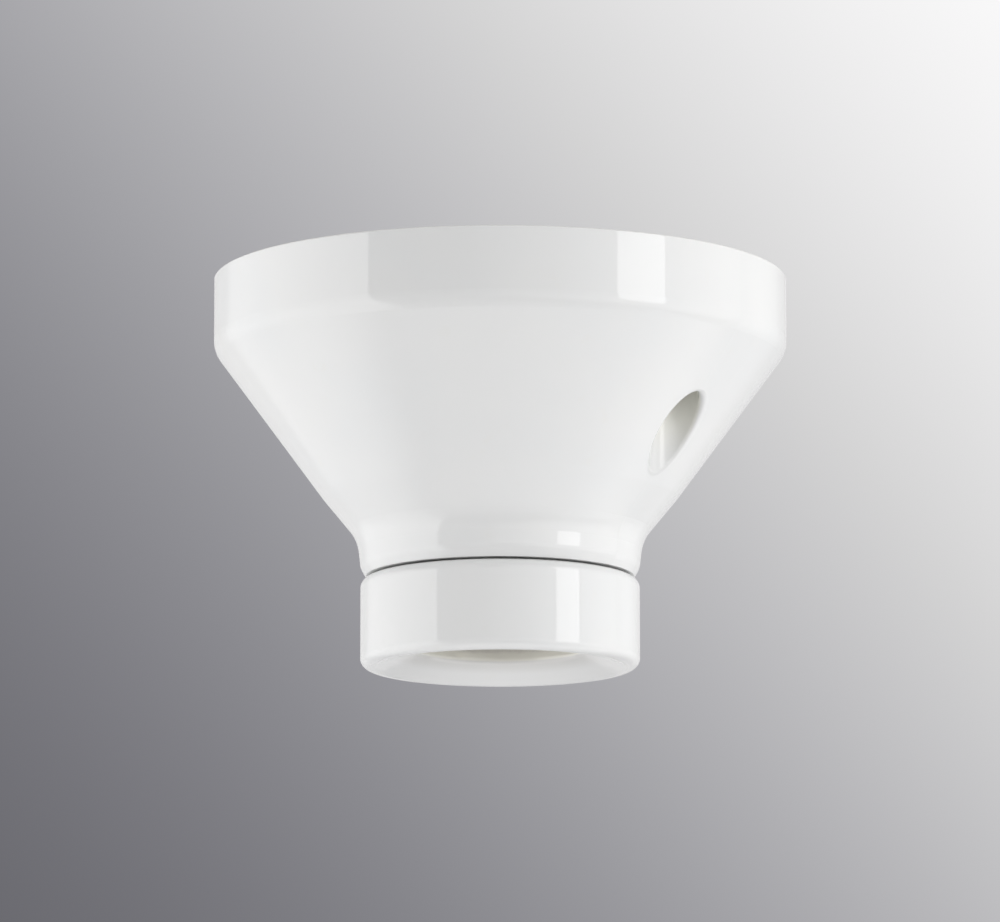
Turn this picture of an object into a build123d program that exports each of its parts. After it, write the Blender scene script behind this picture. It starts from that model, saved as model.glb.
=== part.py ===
from build123d import *
import math
import os

# Batten lamp holder, in millimetres. z = 0 is the ceiling, and the holder hangs below it.

# Ceiling base: a hollow porcelain cone with a straight rim, a slight bend and a short tapered neck
rim_radius = 50.0
rim_band = 12.5
rim_round = 5.0
back_edge_round = 0.25
base_height = 52.4
neck_radius = 24.9
neck_height = 6.6
neck_taper = 0.6
neck_hollow_round = 7.3
bend_height = 7.3
bend_flare = 6.0
bend_round = 12.0
bevel_height = 1.6
bevel_depth = 0.9
bevel_round = 3.0
seam_edge_round = 0.2
bore_chamfer = 0.6
cone_wall = 5.4
rim_wall = 6.0
shelf_width = 3.0

# Two fixing screws, each at the bottom of a deep round scoop in the cone
fixing_spacing = 72.4
fixing_hole_radius = 2.5
scoop_radius = 4.3
scoop_floor = 6.0
scoop_edge_round = 0.8
boss_wall = 3.8
edge_match = 0.01

# Threaded collar, whose funnel leads the lamp cap in
ring_radius = 24.3
ring_height = 15.7
seam_gap = 0.3
ring_top_round = 1.8
ring_edge_round = 1.7
funnel_radius = 22.2
funnel_round = 1.6
funnel_rise = 3.1
mouth_radius = 14.8
mouth_round = 1.2
lip_land = 3.0

# Socket insert: a porcelain cup, flanged to hang on the shelf inside the neck
thread_radius = 19.6
thread_depth = 0.8
thread_clearance = 0.4
thread_relief = 1.0
lip_gap = 0.4
flange_height = 4.0
flange_clearance = 0.4
tower_margin = 1.2
lamp_depth = 25.2
insert_chamfer = 0.6
key_width = 4.0
key_inset = 1.2
key_clearance = 0.4

# Screw shell that takes the lamp's thread, at the mean of crest and root, drawn in at its closed end
shell_radius = 12.75
shell_thread_length = 20.2
shell_sheet = 0.4
shell_step = 0.5
shell_bend = 0.7
shell_recess = 0.4
shell_hole_radius = 5.2
shell_clearance = 0.85

# Screws that hold the shell and draw the neutral bar down
shell_screw_radius = 1.5
shell_screw_head_radius = 2.7
shell_screw_head_height = 1.8
shell_screw_circle = 8.6
shell_screw_angle = 60.0
screw_end = 0.5
screw_clearance = 0.2
tapped_clearance = 0.05
slot_width = 0.8
slot_depth = 0.9
slot_turns = (25.0, 70.0)
screw_chamfer = 0.3

# Sprung centre contact
plunger_radius = 2.6
plunger_clearance = 0.08
plunger_reach = 3.7
plunger_dome = 1.8
plunger_travel = 2.0
guide_length = 2.2
collar_radius = 3.5
collar_thickness = 1.2
collar_clearance = 0.3
spigot_radius = 2.1
spigot_height = 1.4
spring_radius = 2.85
spring_wire = 0.5
spring_turns = 4.0
spring_sides = 6
spring_pressed = 3.4
spring_seat = 0.05

# Brass bars in their pockets on the back of the insert
bar_thickness = 1.6
bar_width = 7.4
bar_clearance = 0.3
ear_radius = 2.9
pocket_depth = 2.2

# Saddle clamps, terminal screws and captive square nuts
clamp_length = 7.0
clamp_thickness = 1.0
clamp_lip = 1.0
clamp_clearance = 0.2
bay_clearance = 0.4
terminal_screw_radius = 1.75
terminal_head_radius = 3.1
terminal_head_height = 2.2
nut_width = 6.0
nut_thickness = 2.0
nut_cover = 2.5
nut_clearance = 0.3
nut_relief = 1.2

# Levels and radii worked out from the sizes above
cone_end = base_height - neck_height
bend_depth = cone_end - bend_height
bend_radius = neck_radius + bend_flare
cone_slope = (rim_radius - bend_radius) / (bend_depth - rim_band)
neck_foot = neck_radius - neck_taper
wall_across = cone_wall * math.hypot(1, cone_slope)
bore_radius = thread_radius + thread_clearance
shelf_radius = bore_radius + shelf_width
rim_inner = rim_radius - rim_wall
seat_depth = rim_band + (rim_radius - shelf_radius - wall_across) / cone_slope
hollow_band = rim_band + (rim_wall - wall_across) / cone_slope
boss_radius = scoop_radius + boss_wall
root_radius = thread_radius - thread_depth
cavity_radius = shell_radius + shell_sheet + shell_clearance
flange_radius = shelf_radius - flange_clearance
ring_top = -base_height - seam_gap
ring_bottom = ring_top - ring_height
lip_bottom = ring_bottom + funnel_rise
lip_top = lip_bottom + lip_land
insert_bottom = lip_top + lip_gap
cavity_floor = insert_bottom + lamp_depth
floor_thickness = guide_length + collar_thickness + spring_pressed + plunger_travel + pocket_depth
back_level = cavity_floor + floor_thickness
pocket_floor = back_level - pocket_depth
bar_top = pocket_floor + bar_thickness
chamber_floor = cavity_floor + guide_length
chamber_radius = collar_radius + collar_clearance
collar_top = chamber_floor + collar_thickness
clamp_top = bar_top + clamp_thickness
clamp_width = bar_width + 2 * (clamp_clearance + clamp_thickness)
terminal_reach = shell_screw_circle + ear_radius + clamp_clearance + clamp_length / 2
bar_reach = terminal_reach + clamp_length / 2
tower_radius = bar_reach + tower_margin
nut_level = pocket_floor - nut_cover - nut_clearance
terminal_end = nut_level - nut_thickness - screw_end


def turned(points, rounds):
    # A ring or cup turned about the lamp axis from its half section, with each corner's round
    outline = FilletPolyline(*points, radius=rounds, close=True)
    return revolve(Plane.XZ * make_face(outline), Axis.Z)


def drilled(radius, low, high, x=0, y=0):
    return Pos(x, y, (low + high) / 2) * Cylinder(radius, high - low)


def block(x_span, y_span, z_span):
    spans = (x_span, y_span, z_span)
    middle = [(low + high) / 2 for low, high in spans]
    return Pos(*middle) * Box(*[high - low for low, high in spans])


def shell_screw_places():
    angles = (shell_screw_angle, -shell_screw_angle)
    return [Vector(shell_screw_circle, 0).rotate(Axis.Z, angle) for angle in angles]


def keys(growth, low, high):
    # Two blocks on the Y axis that stop the insert turning, or with growth their notches
    inner = bore_radius + key_inset - growth
    half = key_width / 2 + growth
    return [block((-half, half), span, (low, high)) for span in ((inner, rim_inner), (-rim_inner, -inner))]


def ceiling_base():
    outer = turned(
        [(0, 0), (rim_radius, 0), (rim_radius, -rim_band), (bend_radius, -bend_depth),
         (neck_radius, -cone_end), (neck_foot, bevel_height - base_height),
         (neck_foot - bevel_depth, -base_height), (0, -base_height)],
        [0, back_edge_round, rim_round, bend_round, neck_hollow_round, bevel_round, seam_edge_round, 0])
    hollow = turned(
        [(0, 0), (rim_inner, 0), (rim_inner, -hollow_band), (shelf_radius, -seat_depth),
         (bore_radius, -seat_depth), (bore_radius, -base_height), (0, -base_height)],
        0)
    base = outer - hollow
    for key in keys(0, -seat_depth, -seat_depth + flange_height):
        base += key & outer
    for x in (-fixing_spacing / 2, fixing_spacing / 2):
        base += drilled(boss_radius, -base_height, 0, x) & outer
        base -= drilled(scoop_radius, -base_height, -scoop_floor, x)
        base -= drilled(fixing_hole_radius, -scoop_floor, 0, x)
        mouth = [edge for edge in base.edges() if is_scoop_mouth(edge, x)]
        base = fillet(mouth, scoop_edge_round)
    bore_edge = base.edges().filter_by(GeomType.CIRCLE).group_by(Axis.Z)[0].sort_by(SortBy.RADIUS)[0]
    return chamfer(bore_edge, bore_chamfer)


def is_scoop_mouth(edge, x):
    # The curved line where a scoop's round wall runs out through the cone
    spots = [edge.position_at(share) - Vector(x, 0) for share in (0.25, 0.75)]
    on_wall = all(abs(math.hypot(spot.X, spot.Y) - scoop_radius) < edge_match for spot in spots)
    return on_wall and edge.geom_type != GeomType.CIRCLE and edge.geom_type != GeomType.LINE


def collar_ring():
    ring = turned(
        [(ring_radius, ring_top), (ring_radius, ring_bottom), (funnel_radius, ring_bottom),
         (mouth_radius, lip_bottom), (mouth_radius, lip_top), (bore_radius, lip_top),
         (bore_radius, ring_top)],
        [ring_top_round, ring_edge_round, funnel_round, mouth_round, 0, 0, 0])
    bore_edge = ring.edges().filter_by(GeomType.CIRCLE).group_by(Axis.Z)[-1].sort_by(SortBy.RADIUS)[0]
    return chamfer(bore_edge, bore_chamfer)


def live_outline(growth):
    # Flat bar from the centre contact out along -X
    half = bar_width / 2 + growth
    reach = bar_reach + growth
    return Circle(half) + Pos(-reach / 2, 0) * Rectangle(reach, 2 * half)


def neutral_outline(growth):
    # Bow between the two shell screws, with a tongue out along +X
    bow = CenterArc((0, 0), shell_screw_circle, -shell_screw_angle, 2 * shell_screw_angle)
    reach = bar_reach + growth - shell_screw_circle
    tongue = Pos(shell_screw_circle + reach / 2, 0) * Rectangle(reach, bar_width + 2 * growth)
    return SlotArc(bow, 2 * (ear_radius + growth)) + tongue


def socket_insert():
    seat = -seat_depth
    insert = turned(
        [(0, cavity_floor), (cavity_radius, cavity_floor), (cavity_radius, insert_bottom),
         (root_radius, insert_bottom), (root_radius, -base_height + thread_relief),
         (thread_radius, -base_height + thread_relief), (thread_radius, seat), (flange_radius, seat),
         (flange_radius, seat + flange_height), (tower_radius, seat + flange_height),
         (tower_radius, back_level), (0, back_level)],
        0)
    rims = insert.edges().filter_by(GeomType.CIRCLE).group_by(Axis.Z)
    insert = chamfer(rims[0] + rims[-1], insert_chamfer)
    insert -= drilled(plunger_radius + plunger_clearance, cavity_floor, chamber_floor)
    insert -= drilled(chamber_radius, chamber_floor, back_level)
    pockets = live_outline(bar_clearance) + neutral_outline(bar_clearance)
    insert -= Pos(0, 0, pocket_floor) * extrude(pockets, pocket_depth)
    for place in shell_screw_places():
        insert -= drilled(shell_screw_radius + screw_clearance, cavity_floor, back_level, place.X, place.Y)
    for side in (-1, 1):
        insert -= terminal_bay(side)
    for notch in keys(key_clearance, seat, seat + flange_height):
        insert -= notch
    return insert


def terminal_bay(side):
    # Open bay round a saddle clamp, its screw hole, and the side slot that holds the nut
    half_length = clamp_length / 2 + bay_clearance
    half_width = clamp_width / 2 + bay_clearance
    half_nut = nut_width / 2 + nut_clearance
    outside = tower_radius + bay_clearance
    bay = block(
        (terminal_reach - half_length, outside), (-half_width, half_width), (pocket_floor, back_level))
    slot = block(
        (terminal_reach - half_nut, outside), (-half_nut, half_nut),
        (nut_level - nut_thickness - nut_clearance, nut_level + nut_clearance))
    hole = drilled(
        terminal_screw_radius + screw_clearance, terminal_end - nut_relief, pocket_floor, terminal_reach)
    return Rot(0, 0, 0 if side > 0 else 180) * (bay + slot + hole)


def screw_shell():
    outer = shell_radius + shell_sheet
    edge = insert_bottom + shell_recess
    thread_end = edge + shell_thread_length
    cup_start = thread_end + shell_step
    inside = cavity_floor - shell_sheet
    shell = turned(
        [(outer, edge), (outer, thread_end), (outer - shell_step, cup_start),
         (outer - shell_step, cavity_floor - shell_bend), (outer - shell_step - shell_bend, cavity_floor),
         (shell_hole_radius, cavity_floor), (shell_hole_radius, inside),
         (shell_radius - shell_step - shell_bend, inside), (shell_radius - shell_step, inside - shell_bend),
         (shell_radius - shell_step, cup_start), (shell_radius, thread_end), (shell_radius, edge)],
        0)
    for place in shell_screw_places():
        shell -= drilled(shell_screw_radius + screw_clearance, inside, cavity_floor, place.X, place.Y)
    return shell


def slotted_screw(shank_radius, shank_length, head_radius, head_height):
    # Cheese-head screw with its seat at z = 0 and its head above
    screw = turned(
        [(0, -shank_length), (shank_radius, -shank_length), (shank_radius, 0), (head_radius, 0),
         (head_radius, head_height), (0, head_height)],
        0)
    rims = screw.edges().filter_by(GeomType.CIRCLE).group_by(Axis.Z)
    screw = chamfer(rims[0] + rims[-1], screw_chamfer)
    half = slot_width / 2
    return screw - block((-half, half), (-head_radius, head_radius), (head_height - slot_depth, head_height))


def shell_screws():
    length = bar_top + screw_end - cavity_floor + shell_sheet
    screw = slotted_screw(shell_screw_radius, length, shell_screw_head_radius, shell_screw_head_height)
    head_down = Pos(0, 0, cavity_floor - shell_sheet) * Rot(180, 0, 0)
    spots = zip(shell_screw_places(), slot_turns)
    return Compound(children=[Pos(place) * head_down * Rot(0, 0, turn) * screw for place, turn in spots])


def contact_plunger():
    tip = cavity_floor - plunger_reach
    return turned(
        [(0, tip), (plunger_radius, tip), (plunger_radius, chamber_floor), (collar_radius, chamber_floor),
         (collar_radius, collar_top), (spigot_radius, collar_top),
         (spigot_radius, collar_top + spigot_height), (0, collar_top + spigot_height)],
        [0, plunger_dome, 0, 0, 0, 0, 0, 0])


def contact_spring():
    low = collar_top + spring_wire / 2 + spring_seat
    rise = pocket_floor - spring_wire / 2 - spring_seat - low
    path = Helix(rise / spring_turns, rise, spring_radius, center=(0, 0, low))
    start = Plane(origin=path @ 0, z_dir=path % 0)
    return sweep(start * RegularPolygon(spring_wire / 2, spring_sides), path=path, is_frenet=True)


def live_bar():
    bar = Pos(0, 0, pocket_floor) * extrude(live_outline(0), bar_thickness)
    return bar - drilled(terminal_screw_radius + screw_clearance, pocket_floor, bar_top, -terminal_reach)


def neutral_bar():
    bar = Pos(0, 0, pocket_floor) * extrude(neutral_outline(0), bar_thickness)
    for place in shell_screw_places():
        bar -= drilled(shell_screw_radius + tapped_clearance, pocket_floor, bar_top, place.X, place.Y)
    return bar - drilled(terminal_screw_radius + screw_clearance, pocket_floor, bar_top, terminal_reach)


def wire_clamp(side):
    # Saddle whose two lips reach down past the bar's edges and keep it from turning
    outer = clamp_width / 2
    inner = outer - clamp_thickness
    lip_end = bar_top - clamp_lip
    saddle = FilletPolyline(
        (-outer, lip_end), (-outer, clamp_top), (outer, clamp_top), (outer, lip_end), (inner, lip_end),
        (inner, bar_top), (-inner, bar_top), (-inner, lip_end),
        radius=[0, clamp_thickness / 2, clamp_thickness / 2, 0, 0, 0, 0, 0], close=True)
    clamp = extrude(Plane.YZ * make_face(saddle), clamp_length / 2, both=True)
    clamp -= drilled(terminal_screw_radius + screw_clearance, bar_top, clamp_top)
    return Pos(side * terminal_reach, 0, 0) * clamp


def terminal_screws():
    screw = slotted_screw(
        terminal_screw_radius, clamp_top - terminal_end, terminal_head_radius, terminal_head_height)
    spots = zip((-terminal_reach, terminal_reach), slot_turns)
    return Compound(children=[Pos(x, 0, clamp_top) * Rot(0, 0, turn) * screw for x, turn in spots])


def terminal_nuts():
    half = nut_width / 2
    nut = block((-half, half), (-half, half), (nut_level - nut_thickness, nut_level))
    nut -= drilled(terminal_screw_radius + tapped_clearance, nut_level - nut_thickness, nut_level)
    return Compound(children=[Pos(side * terminal_reach, 0, 0) * nut for side in (-1, 1)])


pieces = {
    "ceiling_base": ceiling_base(),
    "collar_ring": collar_ring(),
    "socket_insert": socket_insert(),
    "screw_shell": screw_shell(),
    "shell_screws": shell_screws(),
    "contact_plunger": contact_plunger(),
    "contact_spring": contact_spring(),
    "live_bar": live_bar(),
    "neutral_bar": neutral_bar(),
    "live_clamp": wire_clamp(-1),
    "neutral_clamp": wire_clamp(1),
    "terminal_screws": terminal_screws(),
    "terminal_nuts": terminal_nuts(),
}

os.makedirs("parts", exist_ok=True)
for name, piece in pieces.items():
    export_step(piece, f"parts/{name}.step")
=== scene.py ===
import math
import bpy
import bmesh
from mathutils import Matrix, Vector


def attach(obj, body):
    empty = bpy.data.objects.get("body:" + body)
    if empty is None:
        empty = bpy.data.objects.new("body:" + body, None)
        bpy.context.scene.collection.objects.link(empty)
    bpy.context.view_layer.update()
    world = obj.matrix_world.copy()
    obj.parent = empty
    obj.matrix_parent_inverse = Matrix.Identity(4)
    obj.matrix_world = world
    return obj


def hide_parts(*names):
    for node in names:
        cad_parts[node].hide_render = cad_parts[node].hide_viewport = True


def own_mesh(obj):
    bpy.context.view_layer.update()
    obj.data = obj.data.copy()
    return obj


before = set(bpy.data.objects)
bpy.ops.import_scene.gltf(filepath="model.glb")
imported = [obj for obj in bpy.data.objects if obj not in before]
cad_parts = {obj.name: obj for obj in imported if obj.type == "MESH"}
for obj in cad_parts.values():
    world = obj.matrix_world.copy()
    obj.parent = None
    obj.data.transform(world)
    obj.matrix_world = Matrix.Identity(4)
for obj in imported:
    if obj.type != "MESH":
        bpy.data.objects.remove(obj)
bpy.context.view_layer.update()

mm = 0.001
turn = 2 * math.pi


# shader wiring

class Wire:
    # a socket in a node tree; sums on wires add Math nodes
    def __init__(self, tree, socket=None):
        self.tree = tree
        self.socket = socket

    def add(self, kind, settings=None, sockets=None, out=0):
        node = self.tree.nodes.new(kind)
        for name, value in (settings or {}).items():
            if name == "stops":
                setStops(node.color_ramp, value)
            else:
                setattr(node, name, value)
        for key, value in (sockets or {}).items():
            target = pick(node.inputs, key)
            if isinstance(value, Wire):
                self.tree.links.new(value.socket, target)
            else:
                target.default_value = value
        return Wire(self.tree, pick(node.outputs, out) if len(node.outputs) else None)

    def maths(self, operation, *values):
        return self.add("ShaderNodeMath", {"operation": operation}, dict(enumerate(values)))

    def __add__(self, other):
        return self.maths("ADD", self, other)

    def __radd__(self, other):
        return self.maths("ADD", other, self)

    def __sub__(self, other):
        return self.maths("SUBTRACT", self, other)

    def __rsub__(self, other):
        return self.maths("SUBTRACT", other, self)

    def __mul__(self, other):
        return self.maths("MULTIPLY", self, other)

    def __rmul__(self, other):
        return self.maths("MULTIPLY", other, self)

    def __truediv__(self, other):
        return self.maths("DIVIDE", self, other)

    def __rtruediv__(self, other):
        return self.maths("DIVIDE", other, self)

    def __pow__(self, other):
        return self.maths("POWER", self, other)

    def __rpow__(self, other):
        return self.maths("POWER", other, self)

    def __abs__(self):
        return self.maths("ABSOLUTE", self)

    def least(self, other):
        return self.maths("MINIMUM", self, other)

    def most(self, other):
        return self.maths("MAXIMUM", self, other)

    def ease(self, low, high):
        # 0 below low, 1 above high, smooth between
        return self.add("ShaderNodeMapRange", {"interpolation_type": "SMOOTHSTEP"},
                        {"Value": self, "From Min": low, "From Max": high})

    def blendColour(self, first, second):
        # this wire is the share of the second colour
        return self.add("ShaderNodeMix", {"data_type": "RGBA"}, {"Factor": self, "A": first, "B": second})


def pick(sockets, key):
    if isinstance(key, int):
        return [s for s in sockets if s.enabled][key]
    return next(s for s in sockets if s.enabled and s.name == key)


def setStops(ramp, stops):
    while len(ramp.elements) < len(stops):
        ramp.elements.new(0.5)
    for element, (place, colour) in zip(ramp.elements, stops):
        element.position = place
        element.color = colour


def opaque(colour, shade=1.0):
    return (*[v * shade for v in colour], 1.0)


def newFinish(name):
    material = bpy.data.materials.new(name)
    material.use_nodes = True
    material.node_tree.nodes.clear()
    return material, Wire(material.node_tree)


def closeFinish(wire, surface):
    wire.add("ShaderNodeOutputMaterial", {}, {"Surface": surface})


def noiseAt(wire, place, scale, detail=3.0, roughness=0.5):
    return wire.add("ShaderNodeTexNoise", {}, {"Vector": place, "Scale": scale, "Detail": detail,
                                               "Roughness": roughness}, "Fac")


def stretched(wire, place, x, y, z):
    return wire.add("ShaderNodeVectorMath", {"operation": "MULTIPLY"}, {0: place, 1: (x, y, z)})


def alongVector(wire, place, direction):
    return wire.add("ShaderNodeVectorMath", {"operation": "DOT_PRODUCT"}, {0: place, 1: direction}, "Value")


def axisReach(wire, place, x=0.0):
    # distance from an upright axis at x
    moved = wire.add("ShaderNodeVectorMath", {"operation": "SUBTRACT"}, {0: place, 1: (x, 0.0, 0.0)})
    flat = stretched(wire, moved, 1.0, 1.0, 0.0)
    return wire.add("ShaderNodeVectorMath", {"operation": "LENGTH"}, {0: flat}, "Value")


def heightOf(wire, place):
    return wire.add("ShaderNodeSeparateXYZ", {}, {0: place}, "Z")


# camera, at the photograph's angle

view = dict(azimuth=34.4, distance=1.400, height=-0.2718, pitch=0.1697, lens=293.4, sensor=36.0,
            clip=(0.05, 200.0))


def makeCamera():
    data = bpy.data.cameras.new("photoCamera")
    data.sensor_width = view["sensor"]
    data.lens = view["lens"]
    data.clip_start, data.clip_end = view["clip"]
    camera = bpy.data.objects.new("photoCamera", data)
    bpy.context.scene.collection.objects.link(camera)
    angle = math.radians(view["azimuth"])
    away = view["distance"]
    camera.location = (away * math.sin(angle), -away * math.cos(angle), view["height"])
    camera.rotation_euler = (math.pi / 2 + view["pitch"], 0.0, angle)
    bpy.context.scene.camera = camera


makeCamera()
print("camera set")


# studio: soft panels, pale floor, backdrop that brightens to the upper right

# turned: degrees from the camera's side of the object, + to the right
# light: radiance across the panel from its left to its right end as the camera sees it, or one number
# soft: share of the height faded at top and bottom; corner: rounding of the corners in metres
panels = dict(
    leftPanel=dict(turned=-98.0, raised=-9.0, distance=1.15, width=2.42, height=2.7, soft=0.35, corner=0.0,
                   light=[(0.0, 0.0), (0.115, 0.46), (0.364, 1.08), (0.529, 1.62), (0.664, 1.93), (0.8, 2.06),
                          (1.0, 2.09)]),
    rightSheet=dict(turned=50.0, raised=8.0, distance=1.3, width=4.16, height=2.5, soft=0.25, corner=0.0,
                    light=[(0.0, 0.15), (0.32, 0.63), (0.44, 1.01), (0.55, 1.20), (0.68, 1.10), (0.885, 0.75),
                           (1.0, 0.34)]),
    rightStrip=dict(turned=57.4, raised=8.0, distance=1.2, width=0.45, height=0.77, soft=0.0, corner=0.09,
                    light=2.67),
    sidePanel=dict(turned=122.0, raised=0.0, distance=1.3, width=1.5, height=2.4, soft=0.3, corner=0.0,
                   light=[(0.0, 0.0), (0.5, 0.48), (1.0, 0.0)]),
    lowPanel=dict(turned=105.0, raised=-40.0, distance=1.3, width=1.3, height=1.1, soft=0.3, corner=0.0,
                  light=[(0.0, 0.0), (0.5, 0.55), (1.0, 0.0)]),
    underPanel=dict(turned=0.0, raised=-88.0, distance=1.3, width=4.2, height=3.0, soft=0.4, corner=0.0,
                    light=[(0.0, 0.05), (0.25, 0.235), (0.5, 0.48), (0.68, 0.73), (0.8, 0.81), (1.0, 0.86)]),
    topPanel=dict(turned=180.0, raised=70.0, distance=1.3, width=2.0, height=1.6, soft=0.3, corner=0.0,
                  light=1.1),
)
studio = dict(ambient=0.25, objectMiddle=(0.0, 0.0, -0.034), cornerBlur=0.1)


def makePanels():
    middle = Vector(studio["objectMiddle"])
    for name, panel in panels.items():
        data = bpy.data.lights.new(name, "AREA")
        data.shape = "RECTANGLE"
        data.size = panel["width"]
        data.size_y = panel["height"]
        data.energy = math.pi * panel["width"] * panel["height"]
        shadePanel(data, panel)
        lamp = bpy.data.objects.new(name, data)
        bpy.context.scene.collection.objects.link(lamp)
        turned = math.radians(view["azimuth"] + panel["turned"])
        raised = math.radians(panel["raised"])
        level = math.cos(raised)
        out = Vector((math.sin(turned) * level, -math.cos(turned) * level, math.sin(raised)))
        lamp.location = middle + out * panel["distance"]
        lamp.rotation_euler = out.to_track_quat("Z", "Y").to_euler()
        lamp.visible_camera = False


def shadePanel(data, panel):
    data.use_nodes = True
    data.node_tree.nodes.clear()
    wire = Wire(data.node_tree)
    place = wire.add("ShaderNodeNewGeometry", {}, {}, "Parametric")
    across = wire.add("ShaderNodeSeparateXYZ", {}, {0: place}, "X")
    up = wire.add("ShaderNodeSeparateXYZ", {}, {0: place}, "Y")
    light = panel["light"]
    if isinstance(light, list):
        top = max(level for spot, level in light)
        stops = [(spot, opaque((1, 1, 1), level / top)) for spot, level in light]
        ramp = wire.add("ShaderNodeValToRGB", {"stops": stops}, {"Fac": across}, "Color")
        light = wire.add("ShaderNodeSeparateColor", {}, {"Color": ramp}, "Red") * top
    if panel["soft"]:
        light = light * (0.5 - abs(up - 0.5)).ease(0.0, panel["soft"])
    if panel["corner"]:
        # how far a spot lies into a corner, in corner radii
        side = (abs(across - 0.5) * panel["width"] - (panel["width"] / 2 - panel["corner"])).most(0.0)
        rise = (abs(up - 0.5) * panel["height"] - (panel["height"] / 2 - panel["corner"])).most(0.0)
        past = (side * side + rise * rise) ** 0.5 / panel["corner"]
        light = light * (1.0 - past.ease(1.0 - studio["cornerBlur"], 1.0))
    glow = wire.add("ShaderNodeEmission", {}, {"Color": (1, 1, 1, 1), "Strength": light})
    wire.add("ShaderNodeOutputLight", {}, {"Surface": glow})


# tones as they show on a display, eased to one even tone away from the view's middle
backdrop = dict(middle=0.698, far=0.869, across=2.62, upward=2.22, steep=1.2, level=2.8, lowest=0.40,
                highest=0.985, spread=(0.988, 0.9962), green=0.995, cool=0.27, neutral=0.83)


def makeWorld():
    world = bpy.data.worlds.new("studioAir")
    bpy.context.scene.world = world
    world.use_nodes = True
    world.node_tree.nodes.clear()
    wire = Wire(world.node_tree)
    angle, pitch = math.radians(view["azimuth"]), view["pitch"]
    ahead = Vector((-math.sin(angle) * math.cos(pitch), math.cos(angle) * math.cos(pitch), math.sin(pitch)))
    right = Vector((math.cos(angle), math.sin(angle), 0.0))
    brightWay = right * backdrop["across"] + right.cross(ahead) * backdrop["upward"]
    looking = wire.add("ShaderNodeTexCoord", {}, {}, "Generated")
    rise = alongVector(wire, looking, brightWay)
    rise = rise * (backdrop["steep"] - backdrop["level"] * rise * rise)
    near = alongVector(wire, looking, ahead).ease(*backdrop["spread"])
    tone = backdrop["far"] + (rise + (backdrop["middle"] - backdrop["far"])) * near
    tone = tone.most(backdrop["lowest"]).least(backdrop["highest"])
    level = ((tone + 0.055) / 1.055) ** 2.4  # display tone to light
    cool = 1.0 + backdrop["cool"] * (backdrop["neutral"] - tone).most(0.0)  # darker is bluer
    colour = wire.add("ShaderNodeCombineColor", {}, {
        "Red": level, "Green": level * backdrop["green"], "Blue": level * cool})
    seen = wire.add("ShaderNodeBackground", {}, {"Color": colour, "Strength": 1.0})
    air = wire.add("ShaderNodeBackground", {}, {"Color": (1, 1, 1, 1), "Strength": studio["ambient"]})
    camera = wire.add("ShaderNodeLightPath", {}, {}, "Is Camera Ray")
    glossy = wire.add("ShaderNodeLightPath", {}, {}, "Is Glossy Ray")
    through = wire.add("ShaderNodeLightPath", {}, {}, "Is Transmission Ray")
    direct = camera.most(glossy).most(through)
    wire.add("ShaderNodeOutputWorld", {}, {
        "Surface": wire.add("ShaderNodeMixShader", {}, {0: direct, 1: air, 2: seen})})


floorSheet = dict(drop=-1.6, radius=8.0, segments=96, colour=(0.72, 0.72, 0.73), roughness=0.9,
                  fade=(2.0, 6.0))


def makeFloor():
    material, wire = newFinish("paleFloor")
    place = wire.add("ShaderNodeNewGeometry", {}, {}, "Position")
    fade = axisReach(wire, place).ease(*floorSheet["fade"])
    matt = wire.add("ShaderNodeBsdfPrincipled", {}, {
        "Base Color": opaque(floorSheet["colour"]), "Roughness": floorSheet["roughness"]})
    clear = wire.add("ShaderNodeBsdfTransparent")
    closeFinish(wire, wire.add("ShaderNodeMixShader", {}, {0: fade, 1: matt, 2: clear}))
    mesh = bpy.data.meshes.new("floor")
    sheet = bmesh.new()
    bmesh.ops.create_circle(sheet, cap_ends=True, segments=floorSheet["segments"],
                            radius=floorSheet["radius"])
    sheet.to_mesh(mesh)
    sheet.free()
    floor = bpy.data.objects.new("floor", mesh)
    floor.location = (0.0, 0.0, floorSheet["drop"])
    bpy.context.scene.collection.objects.link(floor)
    mesh.materials.append(material)


makePanels()
makeWorld()
makeFloor()
bpy.context.scene.view_settings.view_transform = "Standard"
print("studio set,", len(panels), "panels")


# porcelain

# the lip colour is painted shade, darker on the base's scoop walls and the ring funnel's inner edge; the deep
# colour is painted light, lighter and warmer further in; bare: no glaze
baseGlaze = dict(colour=(0.80, 0.80, 0.795), pooled=(0.785, 0.79, 0.79), thin=(0.79, 0.785, 0.765),
                 paintedShadeLip=(0.70, 0.703, 0.698), deep=(0.84, 0.835, 0.785), bare=(0.74, 0.72, 0.67), bareShade=0.92,
                 roughness=0.028, cloudRoughness=0.025, lipRoughness=0.028, bareRoughness=0.72, ior=1.5,
                 cloudScale=45.0, mottleScale=260.0, grainScale=5200.0, waveScale=95.0, peelScale=1400.0,
                 cloudEdge=(0.35, 0.70), mottleEdge=(0.62, 0.80), mottleShare=0.5, grainEdge=(0.3, 0.7),
                 wave=0.014, peel=0.0006, grain=0.02)  # wave, peel and grain are heights in mm
ringGlaze = dict(baseGlaze, paintedShadeLip=(0.705, 0.70, 0.685), deep=(0.86, 0.85, 0.78), lipRoughness=0.05)


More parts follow.
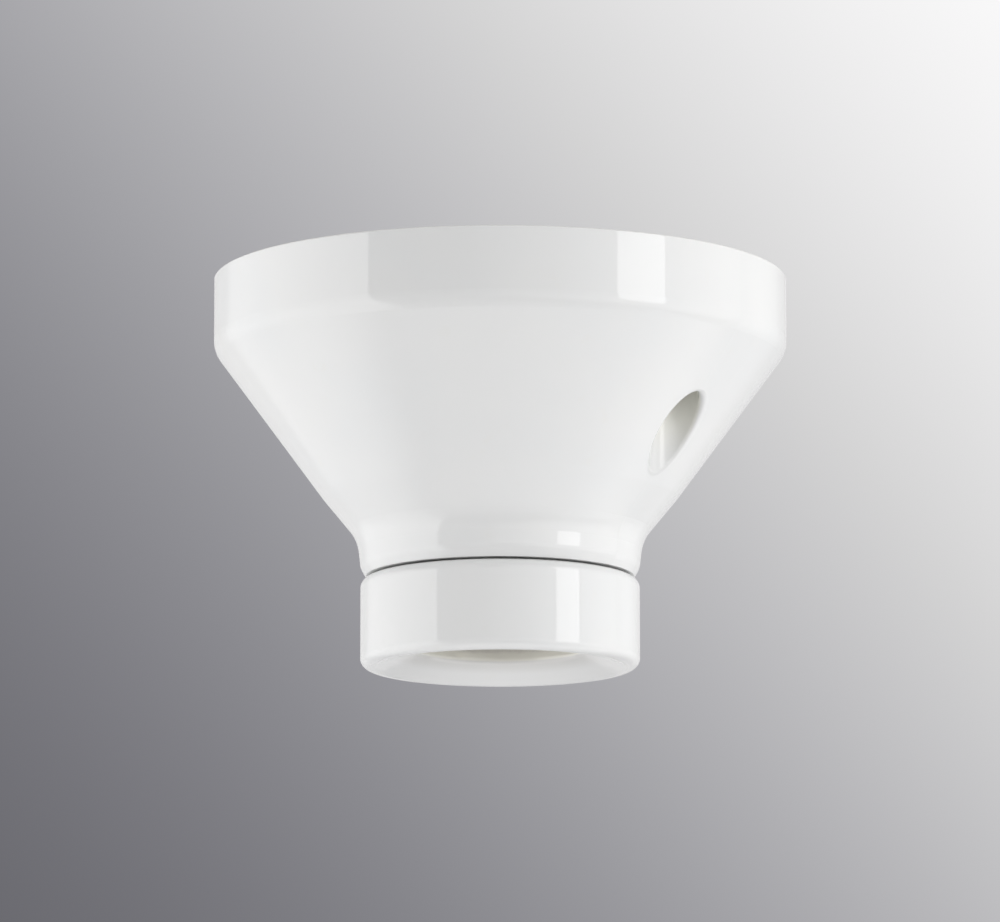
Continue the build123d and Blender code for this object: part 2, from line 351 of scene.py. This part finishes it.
def glazeFinish(name, glaze, bareMask, shadeLipMask, deepMask):
    material, wire = newFinish(name)
    place = wire.add("ShaderNodeTexCoord", {}, {}, "Object")
    bare = bareMask(wire, place)
    paintedShadeLip = shadeLipMask(wire, place)
    cloud = noiseAt(wire, place, glaze["cloudScale"], 4.0)
    mottle = noiseAt(wire, place, glaze["mottleScale"])
    grain = noiseAt(wire, place, glaze["grainScale"], 2.0)
    wave = noiseAt(wire, place, glaze["waveScale"], 1.5)
    peel = noiseAt(wire, place, glaze["peelScale"], 1.0)
    tone = cloud.ease(*glaze["cloudEdge"]).blendColour(opaque(glaze["colour"]), opaque(glaze["pooled"]))
    thin = mottle.ease(*glaze["mottleEdge"]) * glaze["mottleShare"]
    tone = thin.blendColour(tone, opaque(glaze["thin"]))
    # painted shade: darker colour on the scoops' walls and the funnel's inner edge
    tone = paintedShadeLip.blendColour(tone, opaque(glaze["paintedShadeLip"]))
    # painted light: lighter, warmer colour further into the scoops and the mouth
    tone = deepMask(wire, place).blendColour(tone, opaque(glaze["deep"]))
    body = grain.ease(*glaze["grainEdge"]).blendColour(
        opaque(glaze["bare"]), opaque(glaze["bare"], glaze["bareShade"]))
    shine = glaze["roughness"] + glaze["cloudRoughness"] * cloud
    shine = shine + (glaze["lipRoughness"] - glaze["roughness"]) * paintedShadeLip
    roughness = shine + (glaze["bareRoughness"] - shine) * bare
    height = (wave * glaze["wave"] + peel * glaze["peel"]) * (1.0 - bare) + grain * bare * glaze["grain"]
    normal = wire.add("ShaderNodeBump", {}, {"Strength": 1.0, "Distance": mm, "Height": height})
    closeFinish(wire, wire.add("ShaderNodeBsdfPrincipled", {}, {
        "Base Color": bare.blendColour(tone, body), "Roughness": roughness, "Normal": normal,
        "IOR": glaze["ior"]}))
    return material


# lengths in mm from here on; the base is glazed outside and in its scoops, its foot and hollow are bare
baseForm = dict(rim=50.0, band=12.5, slope=0.7346, skin=(2.2, 1.4), foot=(-0.12, -0.03), ragged=1.1,
                raggedScale=420.0, scoop=36.2, scoopWall=(7.2, 7.5), scoopEdge=(4.35, 4.8),
                scoopRise=(-35.0, -26.0))


def awayFromScoops(wire, place, edge):
    # 0 inside either scoop's edge, 1 outside both
    away = 1.0
    for side in (-1, 1):
        away = (axisReach(wire, place, side * baseForm["scoop"] * mm) / mm).ease(*edge) * away
    return away


def baseBare(wire, place):
    z = heightOf(wire, place) / mm
    reach = axisReach(wire, place) / mm
    ragged = (noiseAt(wire, place, baseForm["raggedScale"]) - 0.5) * baseForm["ragged"]
    outside = baseForm["rim"] - (-baseForm["band"] - z).most(0.0) * baseForm["slope"]
    hollow = 1.0 - (reach - outside + ragged).ease(-baseForm["skin"][0], -baseForm["skin"][1])
    hollow = hollow * awayFromScoops(wire, place, baseForm["scoopWall"])
    return hollow.most(z.ease(*baseForm["foot"]))


def baseLip(wire, place):
    # the scoops' walls, where a darker colour is painted shade
    return 1.0 - awayFromScoops(wire, place, baseForm["scoopEdge"])


def baseDeepLight(wire, place):
    # the same walls above their mouths' lower ends, where a lighter, warmer colour is painted light
    return baseLip(wire, place) * (heightOf(wire, place) / mm).ease(*baseForm["scoopRise"])


# the ring is glazed outside and down its funnel; its threaded bore is bare
ringForm = dict(bore=21.4, lipTop=-63.55, blur=0.3, ragged=0.8, raggedScale=420.0, mouthEdge=(14.82, 15.0),
                lipShadeEdge=(15.6, 18.8))


def ringBare(wire, place):
    ragged = (noiseAt(wire, place, ringForm["raggedScale"]) - 0.5) * ringForm["ragged"]
    reach = axisReach(wire, place) / mm + ragged
    z = heightOf(wire, place) / mm + ragged
    inside = 1.0 - reach.ease(ringForm["bore"] - ringForm["blur"], ringForm["bore"] + ringForm["blur"])
    return inside * z.ease(ringForm["lipTop"] - ringForm["blur"], ringForm["lipTop"] + ringForm["blur"])


def ringLipShade(wire, place):
    # painted shade: a darker, warmer colour where the funnel runs into the mouth
    return 1.0 - (axisReach(wire, place) / mm).ease(*ringForm["lipShadeEdge"])


def ringDeepLight(wire, place):
    # the mouth's wall, where a lighter, warmer colour is painted light
    return 1.0 - (axisReach(wire, place) / mm).ease(*ringForm["mouthEdge"])


insertClay = dict(colour=(0.70, 0.675, 0.62), dark=(0.62, 0.59, 0.53), fleckShade=0.8, roughness=0.55,
                  vary=0.2, cloudScale=120.0, cloudEdge=(0.35, 0.75), cloudShare=0.6, fleckScale=900.0,
                  fleckEdge=(0.68, 0.78), fleckShare=0.35, grainScale=3800.0, grain=0.018)


def clayFinish(name, clay):
    material, wire = newFinish(name)
    place = wire.add("ShaderNodeTexCoord", {}, {}, "Object")
    cloud = noiseAt(wire, place, clay["cloudScale"], 4.0)
    grain = noiseAt(wire, place, clay["grainScale"])
    fleck = noiseAt(wire, place, clay["fleckScale"], 2.0)
    dark = cloud.ease(*clay["cloudEdge"]) * clay["cloudShare"]
    flecked = fleck.ease(*clay["fleckEdge"]) * clay["fleckShare"]
    tone = dark.blendColour(opaque(clay["colour"]), opaque(clay["dark"]))
    tone = flecked.blendColour(tone, opaque(clay["dark"], clay["fleckShade"]))
    roughness = clay["roughness"] + clay["vary"] * (grain - 0.5)
    height = grain * clay["grain"]
    normal = wire.add("ShaderNodeBump", {}, {"Strength": 1.0, "Distance": mm, "Height": height})
    closeFinish(wire, wire.add("ShaderNodeBsdfPrincipled", {}, {
        "Base Color": tone, "Roughness": roughness, "Normal": normal}))
    return material


# metals; lines: how fine the drawn or turned marks run along x, y and z

shellNickel = dict(colour=(0.74, 0.71, 0.65), worn=(0.80, 0.63, 0.36), roughness=0.20,
                   lines=(60.0, 60.0, 2600.0))
contactNickel = dict(colour=(0.76, 0.71, 0.62), worn=(0.80, 0.60, 0.32), roughness=0.22,
                     lines=(900.0, 900.0, 3000.0))
springSteel = dict(colour=(0.58, 0.57, 0.56), worn=(0.45, 0.44, 0.43), roughness=0.25,
                   lines=(900.0, 900.0, 900.0))
barBrass = dict(colour=(0.83, 0.64, 0.31), worn=(0.62, 0.43, 0.20), roughness=0.27,
                lines=(180.0, 2600.0, 900.0))
clampZinc = dict(colour=(0.66, 0.67, 0.69), worn=(0.60, 0.56, 0.47), roughness=0.33,
                 lines=(240.0, 1900.0, 900.0))
screwZinc = dict(colour=(0.64, 0.65, 0.68), worn=(0.58, 0.55, 0.48), roughness=0.28,
                 lines=(700.0, 700.0, 2400.0))
metalWear = dict(stainScale=210.0, stainEdge=(0.46, 0.74), stainShare=0.7, dullEdge=(0.5, 0.8),
                 dullRoughness=0.22, lineRoughness=0.16, lineHeight=0.006, edge=0.12)


def metalFinish(name, metal):
    material, wire = newFinish(name)
    place = wire.add("ShaderNodeTexCoord", {}, {}, "Object")
    brushed = noiseAt(wire, stretched(wire, place, *metal["lines"]), 1.0, 3.0, 0.6)
    stain = noiseAt(wire, place, metalWear["stainScale"], 4.0, 0.6)
    worn = stain.ease(*metalWear["stainEdge"]) * metalWear["stainShare"]
    tone = worn.blendColour(opaque(metal["colour"]), opaque(metal["worn"]))
    roughness = metal["roughness"] + metalWear["lineRoughness"] * (brushed - 0.5)
    roughness = roughness + metalWear["dullRoughness"] * stain.ease(*metalWear["dullEdge"])
    soft = wire.add("ShaderNodeBevel", {"samples": 4}, {"Radius": metalWear["edge"] * mm})
    normal = wire.add("ShaderNodeBump", {}, {"Strength": 1.0, "Distance": mm, "Normal": soft,
                                             "Height": brushed * metalWear["lineHeight"]})
    closeFinish(wire, wire.add("ShaderNodeBsdfPrincipled", {}, {
        "Base Color": tone, "Metallic": 1.0, "Roughness": roughness, "Normal": normal}))
    return material


finishes = dict(
    base_glaze=glazeFinish("baseGlaze", baseGlaze, baseBare, baseLip, baseDeepLight),
    ring_glaze=glazeFinish("ringGlaze", ringGlaze, ringBare, ringLipShade, ringDeepLight),
    insert_ceramic=clayFinish("insertClay", insertClay),
    shell_metal=metalFinish("shellNickel", shellNickel),
    contact_metal=metalFinish("contactNickel", contactNickel),
    spring_steel=metalFinish("springSteel", springSteel),
    brass=metalFinish("barBrass", barBrass),
    clamp_metal=metalFinish("clampZinc", clampZinc),
    steel=metalFinish("screwZinc", screwZinc),
)
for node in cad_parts.values():
    for slot in node.material_slots:
        slot.material = finishes[slot.material.name.split(".")[0]]
print("finishes on", len(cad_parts), "nodes")


# pieces made here

sharpAngle = math.radians(50)


def skin(name, rows, joined, body, slotName):
    # a closed skin over rows of points, each row a closed section; joined runs the last row into the first
    count = len(rows[0])
    points = [point for row in rows for point in row]
    faces = []
    for i in range(len(rows) if joined else len(rows) - 1):
        low, high = i * count, (i + 1) % len(rows) * count
        for j in range(count):
            k = (j + 1) % count
            faces.append((low + j, low + k, high + k, high + j))
    if not joined:
        faces.append(tuple(range(count))[::-1])
        faces.append(tuple(range(len(points) - count, len(points))))
    mesh = bpy.data.meshes.new(name)
    mesh.from_pydata(points, [], faces)
    sheet = bmesh.new()
    sheet.from_mesh(mesh)
    bmesh.ops.recalc_face_normals(sheet, faces=sheet.faces)
    sheet.to_mesh(mesh)
    sheet.free()
    mesh.shade_smooth()
    mesh.set_sharp_from_angle(angle=sharpAngle)
    piece = bpy.data.objects.new(name, mesh)
    bpy.context.scene.collection.objects.link(piece)
    mesh.materials.append(finishes[slotName])
    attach(piece, body)
    return piece


def around(radius, angle, z):
    return (radius * math.cos(angle) * mm, radius * math.sin(angle) * mm, z * mm)


def easeStep(value, low, high):
    share = min(1.0, max(0.0, (value - low) / (high - low)))
    return share * share * (3 - 2 * share)


# rolled thread that takes the lamp's cap, right-handed; radius: inside, midway between crest and root
shell = dict(radius=12.75, depth=0.52, pitch=3.629, sheet=0.4, mouth=-61.50, threadEnd=-41.30,
             cupStart=-40.80, shoulder=0.06, shoulderRise=(0.05, 0.5), cup=12.25, back=-36.70, innerBend=0.6,
             outerBend=1.0, hole=5.2, holeRound=(0.15, 0.12), flare=0.25, flareEnd=1.2, plain=0.5, runOut=1.9,
             stepsAround=144, stepsAlong=84, stepsBend=6)


def shellSection(angle):
    mouth, threadEnd, runOut = shell["mouth"], shell["threadEnd"], shell["runOut"]
    threadStart = mouth + shell["plain"]
    inner, outer = [], []
    for i in range(shell["stepsAlong"] + 1):
        z = mouth + (threadEnd - mouth) * i / shell["stepsAlong"]
        fade = easeStep(z, threadStart, threadStart + runOut)
        fade *= 1 - easeStep(z, threadEnd - runOut, threadEnd)
        wave = math.cos(turn * z / shell["pitch"] - angle) * shell["depth"] * fade
        flare = shell["flare"] * (1 - easeStep(z, mouth, mouth + shell["flareEnd"]))
        inner.append((shell["radius"] + wave + flare, z))
        outer.append((shell["radius"] + shell["sheet"] + wave + flare, z))
    # the cup behind the thread, and the plate that the screws hold
    cup, sheet, back = shell["cup"], shell["sheet"], shell["back"]
    inside = back - sheet
    for side, radius, level, bend in ((inner, cup, inside, shell["innerBend"]),
                                      (outer, cup + sheet, back, shell["outerBend"])):
        side.append((radius + shell["shoulder"], shell["cupStart"] + shell["shoulderRise"][0]))
        side.append((radius, shell["cupStart"] + shell["shoulderRise"][1]))
        for step in range(shell["stepsBend"] + 1):
            corner = turn / 4 * step / shell["stepsBend"]
            side.append((radius - bend + bend * math.cos(corner), level - bend + bend * math.sin(corner)))
        side.append((shell["hole"] + shell["holeRound"][0], level))
    chamfer = shell["holeRound"][1]
    hole = [(shell["hole"], z) for z in (inside + chamfer, (inside + back) / 2, back - chamfer)]
    return inner + hole + outer[::-1]


def makeShell():
    rows = []
    for i in range(shell["stepsAround"]):
        angle = turn * i / shell["stepsAround"]
        rows.append([around(radius, angle, z) for radius, z in shellSection(angle)])
    piece = skin("screwShell", rows, True, "base", "shell_metal")
    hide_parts("screw_shell")


# coarse round porcelain threads: the nose's stands out of it, the ring's stands in from its bore
noseThread = dict(foot=18.5, root=18.8, crest=19.6, low=-60.35, high=-52.6, pitch=3.5, footWidth=1.8,
                  crestWidth=0.7, start=0.0, fade=0.9, fullness=0.7, stepsPerTurn=72, stepsAcross=10)
ringThread = dict(noseThread, foot=20.3, root=20.0, crest=19.2, low=-61.35, high=-54.25, start=0.5)


def threadSection(thread, rise):
    foot, half = thread["foot"], thread["footWidth"] / 2
    section = [(foot, -half)]
    for step in range(thread["stepsAcross"] + 1):
        across = -1 + 2 * step / thread["stepsAcross"]
        bulge = math.cos(across * math.pi / 2) ** thread["fullness"] if abs(across) < 1 else 0.0
        width = thread["crestWidth"] + (thread["footWidth"] - thread["crestWidth"]) * (1 - bulge)
        radius = thread["root"] + (thread["crest"] - thread["root"]) * bulge * rise
        section.append((radius, math.copysign(width / 2, across) if across else 0.0))
    section.append((foot, half))
    return section


def makeThread(name, thread, body, slotName):
    def angleAt(z):
        # one helix for both threads, half a pitch apart, so that they mesh
        return turn * (z / thread["pitch"] + thread["start"])

    first, last = angleAt(thread["low"]), angleAt(thread["high"])
    turns = (thread["high"] - thread["low"]) / thread["pitch"]
    rows = []
    for i in range(int(turns * thread["stepsPerTurn"]) + 1):
        z = thread["low"] + i / thread["stepsPerTurn"] * thread["pitch"]
        angle = angleAt(z)
        rise = easeStep(angle, first, first + thread["fade"])
        rise *= 1 - easeStep(angle, last - thread["fade"], last)
        rows.append([around(radius, angle, z + offset) for radius, offset in threadSection(thread, rise)])
    skin(name, rows, False, body, slotName)


# coil behind the centre contact, with its end turns closed
spring = dict(radius=2.85, wire=0.5, low=-33.25, high=-27.95, openTurns=3.4, closedTurns=0.8, closedRise=0.3,
              stepsPerTurn=40, section=12, pressed=0.63)


def makeSpring():
    closed, closedRise, half = spring["closedTurns"], spring["closedRise"], spring["wire"] / 2
    turns = spring["openTurns"] + 2 * closed
    bottom, top = spring["low"] + half, spring["high"] - half
    openRise = top - bottom - 2 * closedRise
    count = int(turns * spring["stepsPerTurn"])
    rows = []
    for i in range(count + 1):
        share = turns * i / count
        if share < closed:
            z = bottom + closedRise * (share / closed) ** 2
        elif share > turns - closed:
            z = top - closedRise * ((turns - share) / closed) ** 2
        else:
            z = bottom + closedRise + openRise * (share - closed) / spring["openTurns"]
        row = []
        for step in range(spring["section"]):
            way = turn * step / spring["section"]
            radius = spring["radius"] + half * math.cos(way)
            row.append(around(radius, turn * share, z + half * math.sin(way)))
        rows.append(row)
    piece = skin("contactSpring", rows, False, "base", "spring_steel")
    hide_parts("contact_spring")
    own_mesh(piece)


makeShell()
makeThread("noseThread", noseThread, "base", "insert_ceramic")
makeThread("ringThread", ringThread, "collar", "ring_glaze")
makeSpring()

bpy.context.view_layer.update()
